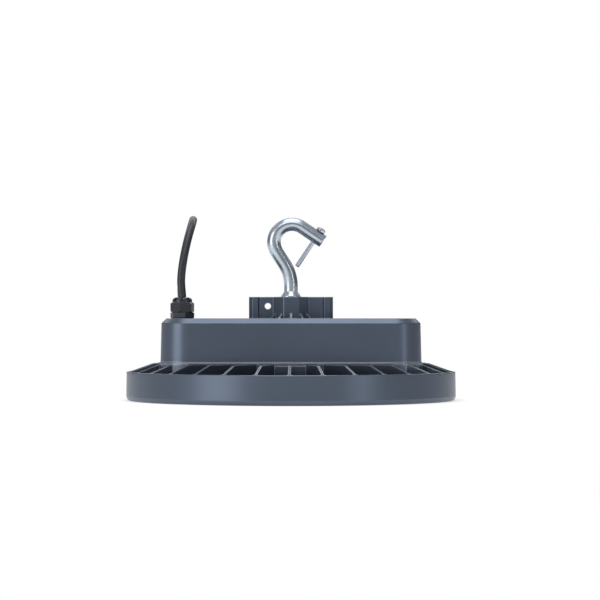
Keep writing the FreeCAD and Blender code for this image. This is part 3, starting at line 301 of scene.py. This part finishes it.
paper = bpy.data.materials.new("white_paper")
paper.use_nodes = True
tree = paper.node_tree
tree.nodes.clear()
diffuse = add(tree, "ShaderNodeBsdfDiffuse", Color=(PAPER_GREY, PAPER_GREY, PAPER_GREY, 1))
glow = add(tree, "ShaderNodeEmission", Color=(1, 1, 1, 1), Strength=PAPER_GLOW)
glowing = add(tree, "ShaderNodeAddShader")
plain_white = add(tree, "ShaderNodeEmission", Color=(1, 1, 1, 1), Strength=1.0)
place = add(tree, "ShaderNodeTexCoord")
far = add(tree, "ShaderNodeVectorMath", operation="LENGTH")
out = add(tree, "ShaderNodeOutputMaterial")
join(tree, diffuse.outputs[0], glowing.inputs[0])
join(tree, glow.outputs[0], glowing.inputs[1])
join(tree, place.outputs["Object"], far.inputs[0])

straight, mirrored = kinds_of_ray(tree)
distant = ramp(tree, far.outputs["Value"], FADE_FROM, FADE_TO)
fade = calculate(tree, "MULTIPLY", distant, straight)
lit = mix_shader(tree, fade, glowing.outputs[0], plain_white.outputs[0])
seen = calculate(tree, "MAXIMUM", straight, mirrored)
join(tree, mix_shader(tree, seen, diffuse.outputs[0], lit), out.inputs["Surface"])
paper_sheet.data.materials.append(paper)

# %% [markdown]
# ## Lamps
#
# Five soft lamps. A broad one at the front left draws the wide sheen on the ring and the
# housing's left corner, and a narrow strip at the front right draws the second sheen. A
# large one overhead and one behind, above the light, brighten every edge that faces up,
# and one high in front fills the sloping faces.

# %% Lamps
AIM_HEIGHT = 0.06


def softbox(name, azimuth, elevation, distance, width, height, radiance):
    """A lamp that faces the light. Azimuth 0 is the front, 90 the right, 180 the back."""
    around, up = math.radians(azimuth), math.radians(elevation)
    aim = Vector((0, 0, AIM_HEIGHT))
    away = Vector((math.sin(around) * math.cos(up), -math.cos(around) * math.cos(up),
                   math.sin(up)))
    bpy.ops.object.light_add(type="AREA", location=aim + away * distance)
    lamp = bpy.context.object
    lamp.name = name
    lamp.rotation_mode = "QUATERNION"
    lamp.rotation_quaternion = away.to_track_quat("Z", "Y")
    lamp.data.shape = "RECTANGLE"
    lamp.data.size, lamp.data.size_y = width, height
    lamp.data.energy = radiance * math.pi * width * height
    return lamp


SOFTBOXES = [
    # name, azimuth, elevation, distance, width, height, radiance
    ("broad_left", -50, 10, 2.2, 1.15, 1.3, 2.40),
    ("strip_right", 48, 10, 2.2, 0.26, 1.3, 3.20),
    ("overhead", 0, 84, 2.2, 1.50, 2.3, 2.05),
    ("back_top", 180, 36, 2.2, 3.00, 0.9, 1.30),
    ("front_top", -8, 42, 2.4, 1.70, 0.8, 1.80),
]
for settings in SOFTBOXES:
    softbox(*settings)

# %% [markdown]
# ## Shared effects
#
# Cast paint, plated steel and moulded plastic share a few habits: their tone drifts
# slowly from place to place and their skin is never quite flat. Their edges also get a
# painted highlight, a lighter colour where small rounds would catch the lamps. Each is a
# node group with named inputs, built once and placed in a finish with its own values.

# %% Helpers for node groups and materials


def new_group(name, inputs, outputs):
    """An empty shader group; inputs are (name, type, value) and outputs (name, type)."""
    tree = bpy.data.node_groups.new(name, "ShaderNodeTree")
    for label, kind, value in inputs:
        socket = tree.interface.new_socket(label, in_out="INPUT", socket_type=kind)
        socket.default_value = value
    for label, kind in outputs:
        tree.interface.new_socket(label, in_out="OUTPUT", socket_type=kind)
    return tree, tree.nodes.new("NodeGroupInput"), tree.nodes.new("NodeGroupOutput")


def place_group(tree, name, **values):
    """Places a group with its own values; spaces in their names are written as _."""
    node = tree.nodes.new("ShaderNodeGroup")
    node.node_tree = bpy.data.node_groups[name]
    for key, value in values.items():
        node.inputs[key.replace("_", " ")].default_value = value
    return node


def finish(name, colour, metallic, roughness, **constants):
    """A material whose constants sit on the shader itself, named as in place_group."""
    material = bpy.data.materials.new(name)
    material.use_nodes = True
    tree = material.node_tree
    shader = tree.nodes["Principled BSDF"]
    shader.inputs["Base Color"].default_value = (*colour, 1)
    shader.inputs["Metallic"].default_value = metallic
    shader.inputs["Roughness"].default_value = roughness
    for key, value in constants.items():
        shader.inputs[key.replace("_", " ")].default_value = value
    return material, tree, shader


def mix_colour(tree, share, first, second):
    """Mixes a linked colour with a fixed one; 6, 7 and 2 are A, B and the result."""
    mix = add(tree, "ShaderNodeMix", data_type="RGBA")
    mix.inputs[7].default_value = (*second, 1)
    join(tree, share, mix.inputs[0])
    join(tree, first, mix.inputs[6])
    return mix.outputs[2]


def painted_edge_highlight(tree, shade, colour, width, break_up, most):
    """Paints a highlight on the edges as a lighter colour; most is its share where an edge
    is sharpest.
    """
    edge = place_group(tree, "edge_mask", Width=width, Break_up=break_up)
    share = calculate(tree, "MULTIPLY", edge.outputs["Mask"], most)
    return mix_colour(tree, share, shade, colour)


def skin_bump(tree, shader, waves, grains, grain_share, strength, depth):
    """Puts the skin group through a Bump node into the shader's normal."""
    skin = place_group(tree, "skin", Waves_per_metre=waves, Grains_per_metre=grains,
                       Grain_share=grain_share)
    bump = add(tree, "ShaderNodeBump", Strength=strength, Distance=depth)
    join(tree, skin.outputs["Height"], bump.inputs["Height"])
    join(tree, bump.outputs[0], shader.inputs["Normal"])


def dress(material, *names):
    """Gives a finish to nodes of the frame."""
    for name in names:
        mesh = nodes[name].data
        mesh.materials.clear()
        mesh.materials.append(material)


# %% Group: slow drift of tone
tree, given, result = new_group(
    "tone_drift",
    [("Colour", "NodeSocketColor", (0.5, 0.5, 0.5, 1)),
     ("Amount", "NodeSocketFloat", 0.06),
     ("Patches per metre", "NodeSocketFloat", 18.0),
     ("Roughness", "NodeSocketFloat", 0.4),
     ("Roughness spread", "NodeSocketFloat", 0.05)],
    [("Colour", "NodeSocketColor"), ("Roughness", "NodeSocketFloat")])
cloud = add(tree, "ShaderNodeMapRange")
cloud.inputs["From Min"].default_value = 0.3
cloud.inputs["From Max"].default_value = 0.7
cloud.inputs["To Min"].default_value = -1.0
cloud.inputs["To Max"].default_value = 1.0
join(tree, noise(tree, given.outputs["Patches per metre"], Detail=3.0, Roughness=0.55),
     cloud.inputs["Value"])
change = calculate(tree, "MULTIPLY", cloud.outputs[0], given.outputs["Amount"])
gain = calculate(tree, "ADD", change, 1.0)
scaled = add(tree, "ShaderNodeVectorMath", operation="SCALE")
join(tree, given.outputs["Colour"], scaled.inputs[0])
join(tree, gain, scaled.inputs["Scale"])
join(tree, scaled.outputs[0], result.inputs["Colour"])

wander = calculate(tree, "SUBTRACT", noise(tree, 55.0, Detail=2.0), 0.5)
rougher = calculate(tree, "MULTIPLY_ADD", wander, given.outputs["Roughness spread"],
                    given.outputs["Roughness"])
join(tree, rougher, result.inputs["Roughness"])

# %% [markdown]
# The skin group gives a height for a Bump node. It adds a coarse wave, the orange peel of
# a powder coat or the flow of a moulding, to a fine grain.

# %% Group: skin
tree, given, result = new_group(
    "skin",
    [("Waves per metre", "NodeSocketFloat", 700.0),
     ("Grains per metre", "NodeSocketFloat", 3500.0),
     ("Grain share", "NodeSocketFloat", 0.25)],
    [("Height", "NodeSocketFloat")])
wave = noise(tree, given.outputs["Waves per metre"], Detail=1.0, Roughness=0.4)
grain = noise(tree, given.outputs["Grains per metre"], Detail=2.0, Roughness=0.6)
height = calculate(tree, "MULTIPLY_ADD", grain, given.outputs["Grain share"], wave)
join(tree, height, result.inputs["Height"])

# %% [markdown]
# The edge group finds edges with the Bevel node. It compares the surface's own direction
# with the direction that a small round would have there: on a flat they agree, near an
# edge they part. The mask grows with the gap between them and a little noise breaks it.

# %% Group: edges
tree, given, result = new_group(
    "edge_mask",
    [("Width", "NodeSocketFloat", 0.0006),
     ("Break up", "NodeSocketFloat", 0.3)],
    [("Mask", "NodeSocketFloat")])
own = add(tree, "ShaderNodeNewGeometry")
rounded = add(tree, "ShaderNodeBevel", samples=6)
agree = add(tree, "ShaderNodeVectorMath", operation="DOT_PRODUCT")
join(tree, given.outputs["Width"], rounded.inputs["Radius"])
join(tree, own.outputs["Normal"], agree.inputs[0])
join(tree, rounded.outputs[0], agree.inputs[1])
apart = ramp(tree, agree.outputs["Value"], 0.995, 0.86)
lost = calculate(tree, "MULTIPLY", noise(tree, 240.0, Detail=2.0),
                 given.outputs["Break up"])
mask = calculate(tree, "MULTIPLY", apart, calculate(tree, "SUBTRACT", 1.0, lost))
join(tree, mask, result.inputs["Mask"])

# %% [markdown]
# ## Powder coat
#
# The castings wear a satin, blue-grey powder coat with metal flake. The flake gives the
# sheen the paint's own colour, so the finish is more metal than plastic. A near-white line
# on the edges is mostly a painted highlight, where small rounds would catch the lamps, and
# partly the thinner coat there.

# %% Powder coat


def powder_coat(colour, highlight_colour, metallic, roughness):
    material, tree, shader = finish("powder_coat", colour, metallic, roughness)
    drift = place_group(tree, "tone_drift", Colour=(*colour, 1), Amount=0.05,
                        Patches_per_metre=16.0, Roughness=roughness,
                        Roughness_spread=0.05)
    # Painted highlight: the edges get a near-white colour where small rounds would catch
    # the lamps.
    shade = painted_edge_highlight(tree, drift.outputs["Colour"], highlight_colour,
                          width=1.1 * MM, break_up=0.25, most=0.9)
    join(tree, shade, shader.inputs["Base Color"])
    join(tree, drift.outputs["Roughness"], shader.inputs["Roughness"])
    skin_bump(tree, shader, 620.0, 2600.0, 0.2, strength=0.5, depth=0.04 * MM)
    return material


# The second colour is the painted highlight on the edges.
coat = powder_coat(colour=(0.110, 0.1355, 0.181), highlight_colour=(0.78, 0.83, 0.90),
                   metallic=0.75, roughness=0.34)
dress(coat, "heat_sink", "driver_housing")

# %% [markdown]
# ## Zinc and steel
#
# The hook is bright zinc plate on a bent rod. Plating is a mirror with a haze: its
# reflections are soft and a little blue, and they wander, because a bent rod is never
# quite even.

# %% Zinc plate


def zinc_plate(name, colour, roughness, waves):
    material, tree, shader = finish(name, colour, 1.0, roughness)
    drift = place_group(tree, "tone_drift", Colour=(*colour, 1), Amount=0.07,
                        Patches_per_metre=90.0, Roughness=roughness,
                        Roughness_spread=0.08)
    join(tree, drift.outputs["Colour"], shader.inputs["Base Color"])
    join(tree, drift.outputs["Roughness"], shader.inputs["Roughness"])
    skin_bump(tree, shader, waves, 5000.0, 0.35, strength=0.08, depth=0.04 * MM)
    return material


hook_zinc = zinc_plate("bright_zinc", (0.50, 0.555, 0.62), roughness=0.24, waves=90.0)
dress(hook_zinc, "hook", "hook_gate_screw", "hook_washer", "hook_nut")
screw_steel = zinc_plate("screw_steel", (0.50, 0.51, 0.52), roughness=0.32, waves=900.0)
dress(screw_steel, "housing_screws", "driver_screws", "board_screws", "lens_screws")

# %% [markdown]
# ## Nylon and rubber
#
# The gland is glass-filled black nylon, quite shiny from its mould, with a painted
# highlight on its edges. Seals and the cable's jacket are softer and duller. One recipe
# serves them all, and the pale mouldings inside too, so the values stand in a table.

# %% Moulded finishes


def moulded(name, colour, roughness, waves, depth, highlight_share=0.0):
    """Plastic or rubber, with waves per metre and their depth in mm, and a share of painted
    highlight on the edges.
    """
    material, tree, shader = finish(name, colour, 0.0, roughness)
    drift = place_group(tree, "tone_drift", Colour=(*colour, 1), Amount=0.12,
                        Patches_per_metre=60.0, Roughness=roughness,
                        Roughness_spread=0.10)
    shade = drift.outputs["Colour"]
    # Where a share is given, the edges get a painted highlight, four times as light as the
    # colour.
    if highlight_share:
        shade = painted_edge_highlight(tree, shade, [4 * part for part in colour],
                              width=0.4 * MM, break_up=0.4, most=highlight_share)
    join(tree, shade, shader.inputs["Base Color"])
    join(tree, drift.outputs["Roughness"], shader.inputs["Roughness"])
    skin_bump(tree, shader, waves, 4 * waves, 0.4, strength=0.5, depth=depth * MM)
    return material


MOULDINGS = [
    # finish, colour, roughness, waves, depth, share of painted edge highlight, nodes
    ("black_nylon", (0.034, 0.037, 0.047), 0.21, 500.0, 0.03, 0.45,
     ["gland_body", "gland_cap", "gland_locknut"]),
    ("black_rubber", (0.022, 0.022, 0.024), 0.55, 900.0, 0.03, 0.0,
     ["gland_seal", "gland_o_ring", "housing_gasket", "wire_grommet"]),
    ("cable_jacket", (0.026, 0.029, 0.037), 0.36, 500.0, 0.008, 0.0, ["cable_tail"]),
    ("terminal_nylon", (0.55, 0.55, 0.50), 0.35, 500.0, 0.02, 0.0, ["terminal_block"]),
    ("white_silicone", (0.62, 0.63, 0.62), 0.50, 700.0, 0.02, 0.0, ["lens_gasket"]),
    ("driver_case", (0.42, 0.43, 0.44), 0.42, 300.0, 0.05, 0.0, ["driver_module"]),
    ("white_board", (0.78, 0.78, 0.76), 0.35, 400.0, 0.02, 0.0, ["led_board"]),
    ("wire_insulation", (0.30, 0.03, 0.02), 0.35, 900.0, 0.02, 0.0,
     ["led_lead", "supply_cores"]),
]
mouldings = {}
for name, colour, roughness, waves, depth, highlight_share, pieces in MOULDINGS:
    mouldings[name] = moulded(name, colour, roughness, waves, depth, highlight_share)
    dress(mouldings[name], *pieces)
cable.data.materials.append(mouldings["cable_jacket"])

# %% [markdown]
# The cap's foot stops a hair above the gland's hexagon, where the background would show
# through. A thin black rubber ring fills that line as painted shade of the joint there.

# %% Ring under the gland's cap
# The ring's black stands in for the shade in the joint under the cap.
RING_RADIUS, RING_SECTION, RING_HEIGHT = 8.75 * MM, 0.45 * MM, 77.1 * MM
bpy.ops.mesh.primitive_torus_add(
    major_radius=RING_RADIUS, minor_radius=RING_SECTION, major_segments=64,
    minor_segments=10, location=(ROUTE[0][0] * MM, 0, RING_HEIGHT))
gland_ring = bpy.context.object
gland_ring.name = "gland_cap_ring"
bpy.ops.object.transform_apply(location=True, rotation=False, scale=False)
bpy.ops.object.shade_smooth()
gland_ring.data.materials.append(mouldings["black_rubber"])
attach(gland_ring, "root")

# %% [markdown]
# ## Cores and ferrules
#
# Each core ends in a tinned copper sleeve, a ferrule, that keeps its strands together in
# a terminal. Core and ferrule are one solid, so one material has to be two things. The
# mask below is a plane square to the cable's end: what lies past it is metal. It is a
# group, because the three cores share it.

# %% Group: past a plane
tree, given, result = new_group(
    "past_plane",
    [("Direction", "NodeSocketVector", (0.0, 1.0, 0.0)),
     ("Distance", "NodeSocketFloat", 0.2)],
    [("Mask", "NodeSocketFloat")])
where = add(tree, "ShaderNodeTexCoord")
along = add(tree, "ShaderNodeVectorMath", operation="DOT_PRODUCT")
join(tree, where.outputs["Object"], along.inputs[0])
join(tree, given.outputs["Direction"], along.inputs[1])
past = calculate(tree, "GREATER_THAN", along.outputs["Value"], given.outputs["Distance"])
join(tree, past, result.inputs["Mask"])

# %% Cores
CORE_LENGTH = 24.0
TINNED = (0.62, 0.61, 0.58)
LEAVES_COIL, CABLE_END = Vector((49.5, 194, 0)), Vector((55, 224, 0))
tail_way = (CABLE_END - LEAVES_COIL).normalized()
ferrule_start = (Vector(TAIL[-1]).dot(tail_way) + CORE_LENGTH - 0.1) * MM


def core_finish(name, colour):
    """A coloured plastic core with a tinned end."""
    material = moulded(name, colour, 0.35, 900.0, 0.02)
    tree = material.node_tree
    shader = tree.nodes["Principled BSDF"]
    mask = place_group(tree, "past_plane", Direction=tail_way, Distance=ferrule_start)
    plastic = shader.inputs["Base Color"].links[0].from_socket
    shade = mix_colour(tree, mask.outputs["Mask"], plastic, TINNED)
    join(tree, shade, shader.inputs["Base Color"])
    join(tree, mask.outputs["Mask"], shader.inputs["Metallic"])
    return material


for name, colour in (("core_brown", (0.13, 0.045, 0.018)),
                     ("core_blue", (0.02, 0.09, 0.38)),
                     ("core_earth", (0.35, 0.42, 0.03))):
    dress(core_finish(name, colour), name)

# %% [markdown]
# ## LED packages
#
# The solids give each LED as a plain block, which is enough for weight and size. A real
# package is a white ceramic body with a sunken window full of yellow phosphor. One is
# modelled here by hand, from a cube: the face that looks down is inset, its corners are
# cut to make an octagon, and the octagon is pushed in. The finished package is then
# copied to each place. It keeps to few faces, because there are 144 of them.

# %% Model one package
CHIP_SIDE, CHIP_HEIGHT = 3.0 * MM, 0.7 * MM
WALL, CORNER_CUT, SUNK = 0.30 * MM, 0.55 * MM, 0.12 * MM
CENTRED = 0.1 * MM


def pick_faces(mesh, test):
    """Selects only the faces that pass the test. The object is in edit mode."""
    bpy.ops.mesh.select_all(action="DESELECT")
    bpy.ops.object.mode_set(mode="OBJECT")
    for edge in mesh.edges:
        edge.select = False
    for vertex in mesh.vertices:
        vertex.select = False
    for face in mesh.polygons:
        face.select = test(face)
    bpy.ops.object.mode_set(mode="EDIT")


bpy.ops.object.select_all(action="DESELECT")
bpy.ops.mesh.primitive_cube_add(size=1)
package = bpy.context.object
package.name = "led_packages"
package.scale = (CHIP_SIDE, CHIP_SIDE, CHIP_HEIGHT)
bpy.ops.object.transform_apply(location=False, rotation=False, scale=True)
bpy.ops.object.mode_set(mode="EDIT")
bpy.ops.mesh.select_mode(type="FACE")
pick_faces(package.data, lambda face: face.normal.z < -0.9)
bpy.ops.mesh.inset(thickness=WALL)
bpy.ops.mesh.bevel(offset=CORNER_CUT, segments=1, affect="VERTICES")
pick_faces(package.data, lambda face: face.normal.z < -0.9 and
           max(abs(face.center.x), abs(face.center.y)) < CENTRED)
bpy.ops.mesh.extrude_region_move(TRANSFORM_OT_translate={"value": (0, 0, SUNK)})
bpy.ops.transform.resize(value=(0.90, 0.90, 1))
bpy.ops.object.mode_set(mode="OBJECT")
print("faces of one package:", len(package.data.polygons))

# %% Its two finishes
ceramic = moulded("led_body", (0.80, 0.79, 0.76), 0.40, 2500.0, 0.01)
phosphor = moulded("led_phosphor", (0.85, 0.60, 0.09), 0.35, 4000.0, 0.01)
package.data.materials.append(ceramic)
package.data.materials.append(phosphor)
for face in package.data.polygons:
    sunken = face.center.z > -0.5 * CHIP_HEIGHT + 0.8 * SUNK
    inside = max(abs(face.center.x), abs(face.center.y)) < CENTRED
    face.material_index = 1 if face.normal.z < -0.9 and sunken and inside else 0

# %% [markdown]
# Under each dome of the lens sit four packages, and the domes stand in rings of 6, 12 and
# 18. The rings' radii are the board's own, so that each group lies under its dome.

# %% Copy the package to its places
RING_PITCH, FIRST_RING, CHIP_PITCH = 27.0, 26.0, 5.0
chip_low, chip_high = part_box("led_chips")
level = (chip_low[2] + chip_high[2]) / 2
places = []
for ring in range(3):
    count = 6 * (ring + 1)
    radius = (FIRST_RING + ring * RING_PITCH) * MM
    for index in range(count):
        angle = 2 * math.pi * (index + 0.5) / count
        for across in (-0.5, 0.5):
            for along in (-0.5, 0.5):
                places.append((radius * math.cos(angle) + across * CHIP_PITCH * MM,
                               radius * math.sin(angle) + along * CHIP_PITCH * MM, level))
copies = []
for place in places[1:]:
    copy = package.copy()
    copy.data = package.data.copy()
    copy.location = place
    bpy.context.collection.objects.link(copy)
    copies.append(copy)
package.location = places[0]
bpy.ops.object.select_all(action="DESELECT")
for piece in [package] + copies:
    piece.select_set(True)
bpy.context.view_layer.objects.active = package
bpy.ops.object.join()
bpy.ops.object.transform_apply(location=True, rotation=True, scale=True)
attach(package, "root")
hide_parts("led_chips")
print("packages:", len(places), "faces:", len(package.data.polygons))

# %% [markdown]
# ## Light engine
#
# The board has its white finish from the table. Over it lies a plate of clear
# polycarbonate, whose constants are all that it needs: clean clear plastic has no grain.

# %% Light engine
clear, tree, shader = finish("clear_lens", (0.96, 0.98, 1.0), 0.0, 0.04, IOR=1.585)
shader.inputs["Transmission Weight"].default_value = 1.0
dress(clear, "lens_plate")

# %% [markdown]
# ## Last step
#
# The view layer is updated once more.

bpy.context.view_layer.update()
